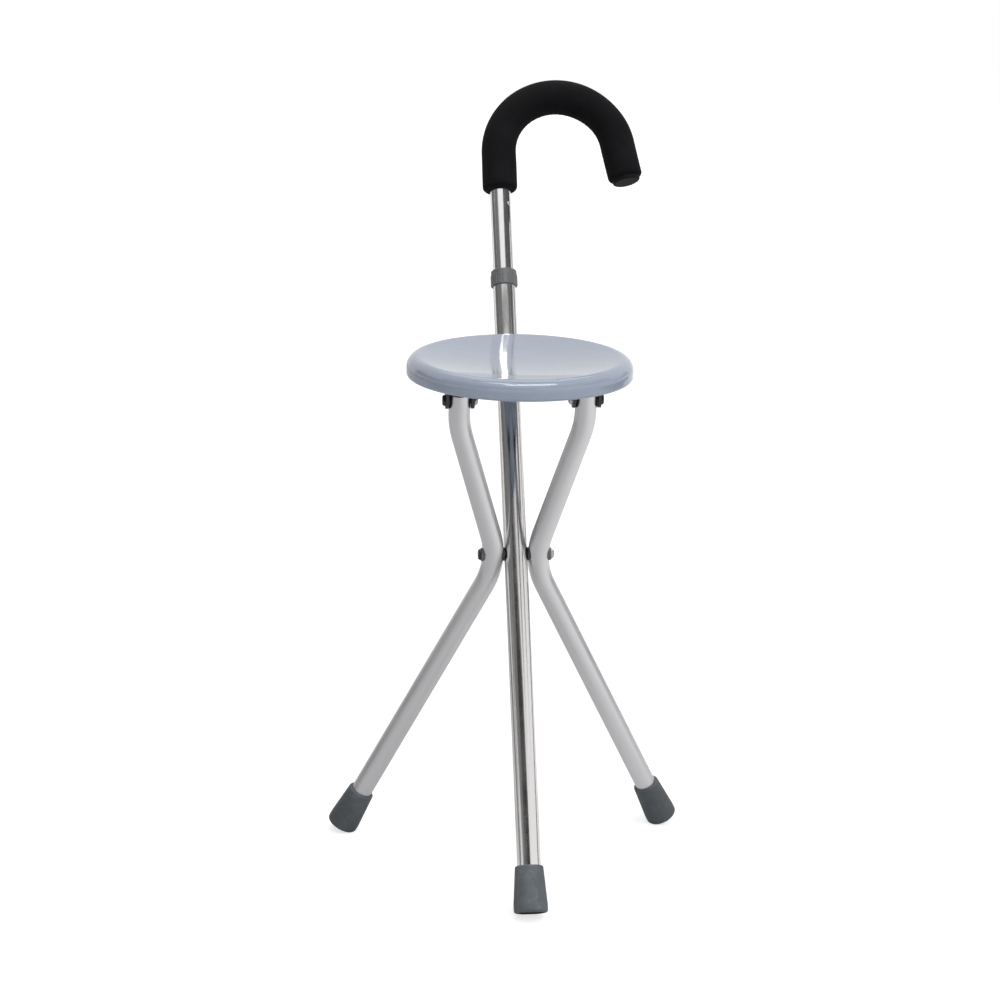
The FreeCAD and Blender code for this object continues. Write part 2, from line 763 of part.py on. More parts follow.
def seat_bracket():
    """Base plate under the seat with two ears round the right leg's top."""
    plate_in, plate_out = bracket_span()
    plate_low = seat_low - plate_t
    half = bracket_len / 2
    bracket = block(plate_in, plate_out, -half, half, plate_low, seat_low)
    corners = [edge for edge in bracket.Edges if abs(edge.tangentAt(edge.FirstParameter).z) > 0.99]
    bracket = bracket.makeFillet(screw_inset, corners)
    ear_in = leg_od / 2 + ear_gap
    for side in (-1, 1):
        x0 = leg_top_half + side * ear_in
        x1 = leg_top_half + side * (ear_in + ear_t)
        outline = Part.makePolygon([
            Vector(x0, -ear_r, 0), Vector(x0, ear_r, 0), Vector(x0, ear_r * 1.5, plate_low),
            Vector(x0, -ear_r * 1.5, plate_low), Vector(x0, -ear_r, 0)])
        ear = Part.Face(outline).extrude(Vector(x1 - x0, 0, 0))
        bracket = bracket.fuse([ear, cross_rod(ear_r, x0, x1)])
    bracket = bracket.cut(cross_rod(axle_d / 2 + seated, 0, far))
    for x, y in bracket_screw_places():
        bracket = bracket.cut(Part.makeCylinder(screw_d / 2 + seated, plate_t, Vector(x, y, plate_low)))
    return bracket.removeSplitter()


def seat_screw(x, y):
    plate_low = seat_low - plate_t
    shank = Part.makeCylinder(screw_d / 2, plate_t + screw_len - free_gap, Vector(x, y, plate_low))
    head = Part.makeCylinder(screw_head_r, screw_head_h, Vector(x, y, plate_low - screw_head_h))
    rim = [edge for edge in head.Edges if abs(edge.BoundBox.ZMax - plate_low + screw_head_h) < 0.01]
    head = head.makeFillet(screw_head_h * 0.45, rim)
    slot = screw_head_r * 0.6
    cross = block(x - slot, x + slot, y - 0.4, y + 0.4, plate_low - screw_head_h, plate_low - screw_head_h / 2)
    cross = cross.fuse(block(x - 0.4, x + 0.4, y - slot, y + slot, plate_low - screw_head_h, plate_low - screw_head_h / 2))
    return shank.fuse(head).cut(cross).removeSplitter()


def seat_bracket_screws():
    places = bracket_screw_places()
    places += [(-x, y) for x, y in places]
    return on_seat(Part.makeCompound([seat_screw(x, y) for x, y in places]))


def pivot_bolt():
    """Right pivot bolt, its head on the outer ear."""
    reach = leg_od / 2 + ear_gap + ear_t
    head_x = leg_top_half + reach
    nut_x = leg_top_half - reach
    head = hexagon(bolt_head_af, head_x, head_x + bolt_head_h)
    return head.fuse(cross_rod(axle_d / 2, nut_x - nut_h - bolt_end, head_x)).removeSplitter()


def pivot_bolts():
    return on_seat(pair(pivot_bolt()))


def pivot_nuts():
    nut_x = leg_top_half - leg_od / 2 - ear_gap - ear_t
    return on_seat(pair(lock_nut(nut_x, -1, 0, 0)))


def catch_place():
    """Trunnion axis in the seat's frame."""
    return hub - seat_pivot() + pole_dir * catch_rise


def seat_fork():
    """Plate under the seat with two hooked cheeks, one each side of the pole."""
    plate_low = seat_low - plate_t
    front = seat_centre_back + fork_front
    back = front + fork_len
    half = fork_half + fork_flange
    fork = block(-half, half, front, back, plate_low, seat_low)
    corners = [edge for edge in fork.Edges if abs(edge.tangentAt(edge.FirstParameter).z) > 0.99]
    fork = fork.makeFillet(screw_inset, corners)
    pin = catch_place()
    slope = rad(slot_dir)
    mouth = Vector(0, -math.cos(slope), -math.sin(slope))
    side_way = Vector(0, math.sin(slope), -math.cos(slope))
    slot_r = trunnion_d / 2 + slot_clearance
    for side in (-1, 1):
        x0 = side * cheek_in
        x1 = side * cheek_out
        top_front = Vector(x0, front, plate_low)
        top_back = Vector(x0, back, plate_low)
        hook = Vector(x0, pin.y, pin.z)
        lower = hook - Vector(0, math.sin(slope), -math.cos(slope)) * hook_r
        upper = hook + Vector(0, hook_r, 0)
        outline = Part.makePolygon([top_front, lower, upper, top_back, top_front])
        cheek = Part.Face(outline).extrude(Vector(x1 - x0, 0, 0))
        cheek = cheek.fuse(cross_rod(hook_r, x0, x1, pin.y, pin.z))
        away = mouth * (2 * hook_r)
        centre = Vector(x0, pin.y, pin.z)
        slot = Part.Face(Part.makePolygon([
            centre + side_way * slot_r, centre + side_way * slot_r + away, centre - side_way * slot_r + away,
            centre - side_way * slot_r, centre + side_way * slot_r])).extrude(Vector(x1 - x0, 0, 0))
        cheek = cheek.cut(slot.fuse(cross_rod(slot_r, x0, x1, pin.y, pin.z)))
        fork = fork.fuse(cheek)
    for x, y in fork_screw_places():
        fork = fork.cut(Part.makeCylinder(screw_d / 2 + seated, plate_t, Vector(x, y, plate_low)))
    return on_seat(fork.removeSplitter())


def fork_screws():
    return on_seat(Part.makeCompound([seat_screw(x, y) for x, y in fork_screw_places()]))


def build():
    leg = leg_tube()
    tip = leg_tip()
    bracket = seat_bracket()
    return {
        "main_pole": main_pole(),
        "pole_hub_bush": pole_hub_bush(),
        "pole_tip": pole_tip(),
        "pole_tip_washer": pole_tip_washer(),
        "collet_bush": collet_bush(),
        "catch_collar": catch_collar(),
        "catch_screw": catch_screw(),
        "catch_nut": catch_nut(),
        "lock_collar": lock_collar(),
        "handle_tube": handle_tube(),
        "foam_grip": foam_grip(),
        "grip_end_plug": grip_end_plug(),
        "guide_plug": guide_plug(),
        "stop_rivet": stop_rivet(),
        "snap_button_clip": snap_button_clip(),
        "right_leg": on_legs(leg.copy()),
        "left_leg": on_legs(mirrored(leg)),
        "right_leg_tip": above_floor(on_legs(tip.copy())),
        "left_leg_tip": above_floor(on_legs(mirrored(tip))),
        "leg_tip_washers": leg_tip_washers(),
        "leg_spacers": leg_spacers(),
        "leg_hub_bushes": leg_hub_bushes(),
        "leg_pivot_bushes": leg_pivot_bushes(),
        "leg_top_caps": leg_top_caps(),
        "hub_axle_bolt": hub_axle_bolt(),
        "hub_axle_nut": hub_axle_nut(),
        "hub_axle_washers": hub_axle_washers(),
        "seat_shell": seat_shell(),
        "right_seat_bracket": on_seat(bracket.copy()),
        "left_seat_bracket": on_seat(mirrored(bracket)),
        "seat_bracket_screws": seat_bracket_screws(),
        "pivot_bolts": pivot_bolts(),
        "pivot_nuts": pivot_nuts(),
        "seat_fork": seat_fork(),
        "fork_screws": fork_screws(),
    }


os.makedirs("parts", exist_ok=True)
for name, shape in build().items():
    shape.exportStep("parts/" + name + ".step")
    print(name, len(shape.Solids), shape.isValid(), round(shape.Volume, 1))
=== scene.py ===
"""Walking stick seat: looks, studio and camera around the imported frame."""
import json
from math import acos, cos, pi, radians, sin, tan

import bmesh
import bpy
import numpy as np
from bpy.props import FloatProperty, FloatVectorProperty, IntProperty, PointerProperty
from bpy.types import Operator, Panel, PropertyGroup
from mathutils import Matrix, Vector


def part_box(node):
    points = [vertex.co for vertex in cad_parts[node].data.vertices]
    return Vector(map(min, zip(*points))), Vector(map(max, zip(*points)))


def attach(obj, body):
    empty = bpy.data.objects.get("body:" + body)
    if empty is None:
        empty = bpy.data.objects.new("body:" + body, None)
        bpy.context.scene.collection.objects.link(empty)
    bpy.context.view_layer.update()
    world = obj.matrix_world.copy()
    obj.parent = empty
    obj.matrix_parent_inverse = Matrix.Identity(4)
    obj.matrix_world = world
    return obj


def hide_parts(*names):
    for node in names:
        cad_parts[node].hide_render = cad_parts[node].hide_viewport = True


bl_info = {
    "name": "Walking Stick Seat",
    "version": (1, 0, 0),
    "blender": (4, 5, 0),
    "location": "View3D > Sidebar > Stick Seat",
    "description": "Dresses a folding walking stick seat and sets it in a plain studio",
    "category": "Object",
}

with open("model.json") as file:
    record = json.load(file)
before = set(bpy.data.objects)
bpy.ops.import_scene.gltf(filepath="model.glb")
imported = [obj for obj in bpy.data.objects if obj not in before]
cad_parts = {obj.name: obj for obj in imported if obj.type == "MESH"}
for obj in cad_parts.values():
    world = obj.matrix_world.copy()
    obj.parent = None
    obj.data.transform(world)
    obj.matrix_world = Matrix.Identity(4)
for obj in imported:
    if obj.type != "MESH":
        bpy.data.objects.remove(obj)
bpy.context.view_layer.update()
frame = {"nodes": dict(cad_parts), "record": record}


# The frame's own places and directions

def joint(name):
    """The record's entry for one joint."""
    return next(j for j in frame["record"]["behaviour"]["joints"] if j["name"] == name)


HUB = np.array(joint("legs_fold")["pos_m"], float)
PIVOTS = np.array(joint("seat_fold")["pos_m"], float)
UP_POLE = np.array(joint("handle_slide")["axis"], float)
UP_LEGS = (PIVOTS - HUB) / np.linalg.norm(PIVOTS - HUB)
ACROSS = np.array([1.0, 0.0, 0.0])
POLE_LEAN = acos(UP_POLE[2])
LEG_LEAN = acos(UP_LEGS[2])
PIVOT_RISE = float(np.linalg.norm(PIVOTS - HUB))


# Sizes and colours that a user would change

def metres(name, description, default):
    return FloatProperty(name=name, description=description, default=default, unit="LENGTH",
                         subtype="DISTANCE")


def degrees(name, description, default):
    return FloatProperty(name=name, description=description, default=radians(default), unit="ROTATION",
                         subtype="ANGLE")


def colour(name, description, default):
    return FloatVectorProperty(name=name, description=description, default=default, size=3, subtype="COLOR",
                               min=0.0, max=1.0)


class StickSeatSizes(PropertyGroup):
    """Sizes of the pieces that are made here, the same as in the solids."""

    leg_diameter: metres("Leg tube", "Outside diameter of the bent legs", 0.022)
    leg_wall: metres("Leg wall", "Wall thickness of the bent legs", 0.0012)
    leg_hub_half: metres("Leg at hub", "Middle of the stick to a leg's centre line at the hub", 0.0236)
    leg_top_half: metres("Leg at seat", "Middle of the seat to each leg top", 0.064)
    leg_past_pivot: metres("Leg above pivot", "Leg tube above its pivot bolt", 0.008)
    hub_bend: metres("Hub bend", "Bend radius of the legs at the hub", 0.080)
    top_bend: metres("Top bend", "Bend radius of the legs under the seat", 0.090)
    splay_low: degrees("Lower splay", "Outward slope of the lower legs", 26.2)
    splay_high: degrees("Upper splay", "Outward slope of the upper legs", 16.5)
    tip_height: metres("Tip height", "Height of the rubber tips", 0.047)
    tip_base: metres("Tip base", "Rubber under the tube", 0.012)
    pole_tip_wall: metres("Front tip wall", "Rubber round the pole at the tip's mouth", 0.0023)
    leg_tip_wall: metres("Back tip wall", "Rubber round a leg at the tip's mouth", 0.0028)
    tip_band: metres("Tip band", "Height of the widest part of a tip", 0.009)
    tip_lip: metres("Tip lip", "Rounding of a tip's mouth", 0.0020)
    sole_rim: metres("Sole rim", "Solid rim round the hollow sole", 0.0045)
    tread_depth: metres("Tread depth", "Depth of the hollow sole", 0.003)
    tread_drop: metres("Tread drop", "Step from the rim back to the ring and stud", 0.001)
    tip_edge: metres("Tip edge", "Rounding of a tip's sole", 0.0025)
    pole_sole: metres("Front sole", "Sole diameter of the front tip", 0.0345)
    leg_sole: metres("Back sole", "Sole diameter of the back tips", 0.033)
    bedding: metres("Bedding", "Depth that a tip is pressed flat by", 0.0008)
    grip_start: metres("Grip start", "Hub to the foam's lower end, along the pole", 0.398)
    crook_rise: metres("Crook rise", "Hub to the middle of the crook's bend", 0.440)
    crook_radius: metres("Crook radius", "Bend radius of the crook", 0.065)
    crook_open: degrees("Crook opening", "Outward slope of the crook's free end", 10.5)
    crook_end: metres("Crook end", "Straight foam after the bend", 0.041)
    grip_diameter: metres("Grip diameter", "Outside diameter of the foam", 0.037)
    grip_bore: metres("Grip bore", "Inside diameter of the foam", 0.0221)
    grip_edge: metres("Grip edge", "Rounding of the foam's ends", 0.0045)
    turns: IntProperty(name="Facets", description="Points round each swept piece", default=72, min=12)


class StickSeatColours(PropertyGroup):
    """Base colours of the finishes."""

    seat: colour("Seat", "Moulded seat", (0.424, 0.485, 0.595))
    pole: colour("Pole", "Anodised main pole", (0.76, 0.745, 0.74))
    handle: colour("Handle tube", "Polished handle tube", (0.80, 0.80, 0.80))
    leg: colour("Legs", "Satin leg tubes", (0.60, 0.595, 0.605))
    rubber: colour("Rubber", "Rubber tips", (0.111, 0.125, 0.136))
    foam: colour("Foam", "Foam grip", (0.006, 0.006, 0.007))
    plug: colour("Plugs", "Plugs in the tubes' ends", (0.006, 0.006, 0.0065))
    collar: colour("Collar", "Lock collar", (0.175, 0.18, 0.18))
    dark_plastic: colour("Brackets", "Brackets, catch and spacers", (0.035, 0.037, 0.042))
    washer: colour("Washers", "Saddle washers at the hub", (0.15, 0.152, 0.156))
    nylon: colour("Nylon", "Bushes and guides", (0.62, 0.61, 0.56))
    dark_steel: colour("Bolts", "Blackened bolts and screws", (0.055, 0.056, 0.06))
    bright_steel: colour("Nuts", "Plated nuts and steel washers", (0.50, 0.51, 0.52))
    floor: colour("Floor", "Floor and backdrop", (0.66, 0.66, 0.66))


def sizes():
    return bpy.context.scene.stick_seat_sizes


def colours():
    return bpy.context.scene.stick_seat_colours


# Paths and swept pieces

# Points closer than this are one point, in metres
MERGE_DISTANCE = 1e-6


class Run:
    """A planar path of straight runs and arcs.

    It starts at a point with a heading and goes through runs of (length,
    turn).  A place at distance s is the run's start plus a chord: with
    d = s - start and phi = d * turn / length, the chord is
    d * sin(phi / 2) / (phi / 2) long, along heading + phi / 2.
    """

    def __init__(self, start, heading, runs):
        self.length = np.array([length for length, _ in runs])
        self.turn = np.array([turn for _, turn in runs])
        self.before = np.concatenate([[0.0], np.cumsum(self.length)])
        self.heading = heading + np.concatenate([[0.0], np.cumsum(self.turn)])
        self.total = float(self.before[-1])
        starts = [np.asarray(start, float)]
        for k in range(len(runs)):
            starts.append(starts[k] + self._chord(k, self.length[k]))
        self.start = np.array(starts)

    def _chord(self, k, d):
        """Step from the start of run k to distance d along it."""
        phi = d * self.turn[k] / self.length[k]
        reach = d * np.sinc(phi / (2 * pi))
        along = self.heading[k] + phi / 2
        return np.stack([reach * np.cos(along), reach * np.sin(along)], -1)

    def at(self, s):
        """Plane coordinates and heading at distances s; both ends run on straight."""
        k = np.clip(np.searchsorted(self.before, s, "right") - 1, 0, len(self.length) - 1)
        d = s - self.before[k]
        inside = np.clip(d, 0, self.length[k])
        over = (d - inside)[..., None]
        heading = self.heading[k] + inside * self.turn[k] / self.length[k]
        ahead = np.stack([np.cos(heading), np.sin(heading)], -1)
        return self.start[k] + self._chord(k, inside) + over * ahead, heading


def sweep(path, up, outline, turns, ripple=None):
    """Grid of points round a planar path in the plane of +X and up.

    A point is C(s) + r (cos a N + sin a B): C is the path's place at s, N its
    normal in the plane, B the plane's normal and a the turn round the path.
    The outline's points are (s, r), and a ripple of s and a is added to r.
    """
    s = outline[:, 0]
    place, heading = path.at(s)
    centre = HUB + place[:, :1] * ACROSS + place[:, 1:] * up
    normal = -np.sin(heading)[:, None] * ACROSS + np.cos(heading)[:, None] * up
    side = np.cross(ACROSS, up)
    a = np.linspace(0, 2 * pi, turns, endpoint=False)
    r = np.broadcast_to(outline[:, 1:], (len(s), turns))
    if ripple is not None:
        r = r + ripple(s[:, None], a[None, :])
    return centre[:, None] + r[..., None] * (
        np.cos(a)[None, :, None] * normal[:, None] + np.sin(a)[None, :, None] * side)


def grid_object(name, grid, s, body, material):
    """Mesh from a grid of points, wrapped round both its ways.

    Its UV map holds the distance along the path and round it, in metres.
    """
    rows, turns, _ = grid.shape
    r0, c0 = np.meshgrid(np.arange(rows), np.arange(turns), indexing="ij")
    r1, c1 = (r0 + 1) % rows, (c0 + 1) % turns
    faces = np.stack([r0 * turns + c0, r0 * turns + c1, r1 * turns + c1, r1 * turns + c0], -1)
    mesh = bpy.data.meshes.new(name)
    mesh.from_pydata(grid.reshape(-1, 3), [], faces.reshape(-1, 4))
    round_way = np.linalg.norm(grid - np.roll(grid, -1, 1), axis=-1).sum(1)
    u = np.stack([s[r0], s[r0], s[r1], s[r1]], -1)
    v = np.stack([c0, c0 + 1, c0 + 1, c0], -1) / turns * round_way.max()
    uv = mesh.uv_layers.new(name="Sweep")
    uv.data.foreach_set("uv", np.stack([u, v], -1).astype(np.float32).ravel())
    shell = bmesh.new()
    shell.from_mesh(mesh)
    bmesh.ops.remove_doubles(shell, verts=shell.verts, dist=MERGE_DISTANCE)
    bmesh.ops.recalc_face_normals(shell, faces=shell.faces)
    shell.to_mesh(mesh)
    shell.free()
    mesh.shade_smooth()
    piece = bpy.data.objects.new(name, mesh)
    bpy.context.scene.collection.objects.link(piece)
    mesh.materials.append(material)
    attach(piece, body)
    return piece


def rounded(corners, count):
    """Closed outline in (s, r) from corners of (s, r, radius), each rounded by an arc of count points.

    The arc touches both sides at radius / tan(half the corner's angle) from
    the corner.  It is ((1 - q)^2 A + 2 q (1 - q) w C + q^2 B) over
    ((1 - q)^2 + 2 q (1 - q) w + q^2), with A and B where it touches, C the
    corner and w the sine of half the corner's angle, which makes it a circle.
    """
    corners = np.asarray(corners, float)
    points = []
    for k in range(len(corners)):
        here, radius = corners[k, :2], corners[k, 2]
        if radius == 0:
            points.append(here[None])
            continue
        back = corners[k - 1, :2] - here
        ahead = corners[(k + 1) % len(corners), :2] - here
        back = back / np.linalg.norm(back)
        ahead = ahead / np.linalg.norm(ahead)
        half = acos(np.clip(back @ ahead, -1, 1)) / 2
        reach = radius / tan(half)
        q = np.linspace(0, 1, count)[:, None]
        first, middle, last = (1 - q) ** 2, 2 * q * (1 - q) * sin(half), q ** 2
        arc = first * (here + reach * back) + middle * here + last * (here + reach * ahead)
        points.append(arc / (first + middle + last))
    return np.concatenate(points)


def refine(outline, step):
    """Adds points so that no side of a closed outline is longer than step."""
    ahead = np.roll(outline, -1, 0)
    count = np.maximum(1, np.ceil(np.linalg.norm(ahead - outline, axis=1) / step).astype(int))
    part = np.concatenate([np.arange(n) / n for n in count])[:, None]
    return np.repeat(outline, count, 0) * (1 - part) + np.repeat(ahead, count, 0) * part


# Shader maths

# Places of a Mix node's sockets for colours
MIX_FACTOR, MIX_FIRST, MIX_SECOND = 0, 6, 7
MIX_RESULT = 2


class Sock:
    """An output socket; arithmetic on it adds Math nodes to its tree."""

    def __init__(self, shader, socket):
        self.shader = shader
        self.socket = socket

    def _math(self, operation, *values):
        return self.shader.add("ShaderNodeMath", {"operation": operation}, values)["Value"]

    def __add__(self, other):
        return self._math("ADD", self, other)

    def __radd__(self, other):
        return self._math("ADD", other, self)

    def __sub__(self, other):
        return self._math("SUBTRACT", self, other)

    def __rsub__(self, other):
        return self._math("SUBTRACT", other, self)

    def __mul__(self, other):
        return self._math("MULTIPLY", self, other)

    def __rmul__(self, other):
        return self._math("MULTIPLY", other, self)

    def clamped(self):
        """The value kept between 0 and 1."""
        return self.shader.add("ShaderNodeClamp", {}, [self])["Result"]


class Shader:
    """A material under construction on Object coordinates or the piece's own UV map."""

    def __init__(self, name):
        self.material = bpy.data.materials.new(name)
        self.material.use_nodes = True
        self.tree = self.material.node_tree
        self.tree.nodes.clear()
        self.output = self.tree.nodes.new("ShaderNodeOutputMaterial")

    def add(self, kind, settings, values):
        """Adds a node, sets it up, then fills its sockets by name, by place or in order."""
        node = self.tree.nodes.new(kind)
        for key, value in settings.items():
            setattr(node, key, value)
        pairs = values.items() if isinstance(values, dict) else enumerate(values)
        for key, value in pairs:
            if isinstance(value, Sock):
                self.tree.links.new(value.socket, node.inputs[key])
            else:
                node.inputs[key].default_value = value
        return {socket.name: Sock(self, socket) for socket in node.outputs}

    def _mapped(self, place, **values):
        return self.add("ShaderNodeMapping", {"vector_type": "POINT"}, {"Vector": place, **values})["Vector"]

    def coordinates(self, turn=(0.0, 0.0, 0.0), scale=(1.0, 1.0, 1.0)):
        """Object coordinates, turned and stretched by a Mapping node."""
        place = self.add("ShaderNodeTexCoord", {}, {})["Object"]
        return self._mapped(place, Rotation=turn, Scale=scale)

    def sweep_coordinates(self, scale):
        """The swept pieces' own UV map, stretched."""
        place = self.add("ShaderNodeUVMap", {"uv_map": "Sweep"}, {})["UV"]
        return self._mapped(place, Scale=scale)

    def axis(self, where, name):
        """One axis of a place: X, Y or Z."""
        return self.add("ShaderNodeSeparateXYZ", {}, {"Vector": where})[name]

    def noise(self, where, scale, detail=3.0, rough=0.5):
        """Cloudy value near the middle of 0 to 1; a larger scale is finer."""
        return self.add("ShaderNodeTexNoise", {}, {
            "Vector": where, "Scale": scale, "Detail": detail, "Roughness": rough})["Fac"]

    def cells(self, where, scale):
        """Distance to the nearest of many scattered points; a larger scale is finer."""
        return self.add("ShaderNodeTexVoronoi", {}, {"Vector": where, "Scale": scale})["Distance"]

    def step(self, value, low, high):
        """0 below low, 1 above high, smooth between."""
        return self.add("ShaderNodeMapRange", {"interpolation_type": "SMOOTHSTEP"}, {
            "Value": value, "From Min": low, "From Max": high})["Result"]

    def mix(self, factor, first, second):
        """The first colour where factor is 0, the second where it is 1."""
        values = {MIX_FACTOR: factor, MIX_FIRST: first, MIX_SECOND: second}
        result = self.add("ShaderNodeMix", {"data_type": "RGBA"}, values)["Result"]
        return Sock(self, result.socket.node.outputs[MIX_RESULT])

    def bump(self, height, distance, strength):
        """Normal of a surface that height lifts by up to distance, in metres."""
        return self.add("ShaderNodeBump", {}, {
            "Height": height, "Distance": distance, "Strength": strength})["Normal"]

    def finish(self, **values):
        """Principled surface; names are its sockets with spaces as underscores."""
        named = {key.replace("_", " "): value for key, value in values.items()}
        surface = self.add("ShaderNodeBsdfPrincipled", {}, named)["BSDF"]
        self.tree.links.new(surface.socket, self.output.inputs["Surface"])
        return self.material


def tone(base, factor):
    """A colour times a factor, with full alpha."""
    return tuple(min(1.0, channel * factor) for channel in base) + (1.0,)


# Finishes

def plastic(name, base, rough, grain, relief, blotch=0.12, gloss=0.5):
    """Moulded plastic: fine grain, slight colour drift and rubbed patches.

    Grain is how fine its texture is and relief how high, in metres.  Blotch is
    the share that its colour drifts by, and gloss how strongly it reflects.
    """
    shader = Shader(name)
    where = shader.coordinates()
    drift = shader.noise(where, 22.0)
    fine = shader.noise(where, grain, detail=2.0)
    rubbed = shader.step(shader.noise(where, 60.0, detail=4.0, rough=0.65), low=0.55, high=0.72)
    shade = shader.mix(drift, tone(base, 1.0 - blotch), tone(base, 1.0 + blotch))
    roughness = rough + (drift - 0.5) * 0.12 - rubbed * 0.10
    return shader.finish(Base_Color=shade, Roughness=roughness.clamped(), Specular_IOR_Level=gloss,
                         Normal=shader.bump(fine, relief, strength=0.6))


def rubber(name, base, floor_shade=0.25):
    """Moulded rubber: dust bloom in patches that thins towards the floor, painted shade on its lowest few
    millimetres, scuffs and fine grain.
    """
    shader = Shader(name)
    where = shader.coordinates()
    height = shader.axis(where, "Z")
    dust = shader.step(shader.noise(where, 120.0, detail=5.0, rough=0.7), low=0.48, high=0.75)
    cloud = shader.step(shader.noise(where, 35.0), low=0.4, high=0.7)
    near_floor = 1 - shader.step(height, low=0.0, high=0.022)
    bloom = (dust * 0.5 + cloud * 0.5 - near_floor * 0.3).clamped()
    # Painted shade: the lowest few millimetres, round the sole's rounded edge, darken almost to black
    painted_floor_shade = (1 - shader.step(height, low=0.0015, high=0.0055)) * floor_shade
    shade = shader.mix(painted_floor_shade, shader.mix(bloom, tone(base, 0.78), tone(base, 1.42)), tone(base, 0.05))
    grain = shader.noise(where, 1800.0, detail=2.0)
    scuff = shader.step(shader.noise(where, 420.0), low=0.6, high=0.75)
    roughness = 0.62 + bloom * 0.2
    return shader.finish(Base_Color=shade, Roughness=roughness.clamped(), Specular_IOR_Level=0.45,
                         Normal=shader.bump(grain + scuff * 0.5, 0.00012, strength=0.6))


def foam(name, base):
    """Closed-cell foam: open pores at the skin with painted shade in them, soft mottling, a faint grey
    bloom.
    """
    shader = Shader(name)
    where = shader.coordinates()
    mottle = shader.noise(where, 140.0, detail=5.0, rough=0.7)
    bloom = shader.step(shader.noise(where, 30.0), low=0.5, high=0.7)
    pit = 1 - shader.step(shader.cells(where, 950.0), low=0.0, high=0.28)
    wide_pit = 1 - shader.step(shader.cells(where, 420.0), low=0.0, high=0.2)
    # The pores also darken the colour: painted shade in the pores
    pale = (mottle * 0.7 + bloom * 0.25 - pit * 0.35).clamped()
    shade = shader.mix(pale, tone(base, 0.45), tone(base, 2.3))
    relief = mottle * 0.5 - pit * 0.6 - wide_pit * 0.8
    roughness = 0.86 + mottle * 0.1
    return shader.finish(Base_Color=shade, Roughness=roughness.clamped(), Specular_IOR_Level=0.12,
                         Normal=shader.bump(relief, 0.0003, strength=0.7))


def seat_finish(name, base):
    """Glossy moulding: slow waviness, pale mottling and fine rub marks."""
    shader = Shader(name)
    where = shader.coordinates()
    wave = shader.noise(where, 14.0, detail=2.0)
    marble = shader.noise(where, 38.0, detail=6.0, rough=0.62)
    speck = shader.noise(where, 260.0)
    streaks = shader.coordinates(scale=(1.0, 0.25, 1.0))
    rub = shader.step(shader.noise(streaks, 180.0, detail=4.0, rough=0.7), low=0.56, high=0.74)
    shade = shader.mix(marble * 0.75 + speck * 0.25, tone(base, 0.90), tone(base, 1.09))
    roughness = 0.06 + rub * 0.05 + (wave - 0.5) * 0.03
    return shader.finish(Base_Color=shade, Roughness=roughness.clamped(), IOR=1.53,
                         Specular_Tint=(0.86, 0.93, 1.0, 1.0),
                         Normal=shader.bump(wave + speck * 0.01, 0.0012, strength=0.25))


def plated(name, base, rough):
    """Plated steel: cloudy plating, fine pitting and rubbed spots."""
    shader = Shader(name)
    where = shader.coordinates()
    cloud = shader.noise(where, 160.0, detail=4.0, rough=0.6)
    pits = shader.noise(where, 1500.0, detail=2.0)
    rubbed = shader.step(shader.noise(where, 320.0), low=0.58, high=0.72)
    shade = shader.mix((cloud * 0.7 + rubbed * 0.4).clamped(), tone(base, 0.75), tone(base, 1.5))
    roughness = rough + cloud * 0.2 - rubbed * 0.08
    return shader.finish(Base_Color=shade, Metallic=0.9, Roughness=roughness.clamped(),
                         Normal=shader.bump(pits, 0.00005, strength=0.5))


def drawn(shader, base, rough, streak, where):
    """Drawn tube: long streaks in colour and roughness, sparse scratches, faint smudges.

    Where gives the place for a stretch in three ways, the last along the tube.
    """
    lines = shader.noise(where((1.0, 1.0, 0.01)), 600.0, detail=1.0)
    smudge = shader.noise(where((1.0, 1.0, 0.5)), 28.0, detail=4.0, rough=0.6)
    scratch = shader.step(shader.noise(where((1.0, 1.0, 0.02)), 350.0, detail=1.0), low=0.70, high=0.80)
    soft = shader.step(smudge, low=0.42, high=0.68)
    shade = shader.mix(lines * 0.6 + smudge * 0.4, tone(base, 1.0 - streak), tone(base, 1.0 + streak))
    roughness = rough + soft * (0.25 * rough) + scratch * 0.04 + (lines - 0.5) * (0.2 * rough)
    return shader.finish(Base_Color=shade, Metallic=1.0, Roughness=roughness.clamped(),
                         Normal=shader.bump(lines * 0.5 - scratch * 0.5, 0.000002, strength=0.3))


def tube_metal(name, base, rough, streak):
    """Metal of a straight tube that lies along the pole."""
    shader = Shader(name)

    def where(scale):
        return shader.coordinates((POLE_LEAN, 0.0, 0.0), scale)
    return drawn(shader, base, rough, streak, where)


def swept_metal(name, base, rough, streak):
    """Metal of a bent tube, along its own UV map."""
    shader = Shader(name)

    def where(scale):
        return shader.sweep_coordinates((scale[2], scale[0], 1.0))
    return drawn(shader, base, rough, streak, where)


def finish_node(material, *nodes):
    """Puts one material on every slot of the named CAD nodes."""
    for node in nodes:
        mesh = frame["nodes"][node].data
        if not mesh.materials:
            mesh.materials.append(material)
        for k in range(len(mesh.materials)):
            mesh.materials[k] = material


# Pieces

class StickOperator:
    """Shared settings of the operators."""

    bl_options = {"REGISTER", "UNDO"}


class STICKSEAT_OT_pole(StickOperator, Operator):
    """Finish the straight tubes, the main pole and the handle tube, and the lock collar"""

    bl_idname = "stick_seat.pole"
    bl_label = "Pole and Handle Tube"

    def execute(self, context):
        c = colours()
        finish_node(tube_metal("Pole_Metal", c.pole, rough=0.16, streak=0.04), "main_pole")
        finish_node(tube_metal("Handle_Metal", c.handle, rough=0.12, streak=0.03), "handle_tube")
        finish_node(plastic("Collar_Plastic", c.collar, rough=0.42, grain=2200.0, relief=0.00005),
                    "lock_collar")
        return {"FINISHED"}


def sole_height(size, sole, tilt):
    """Height of a tilted sole's centre when its rounded edge beds on the floor."""
    return (sole / 2 - size.tip_edge) * sin(tilt) + size.tip_edge * (1 - cos(tilt)) - size.bedding


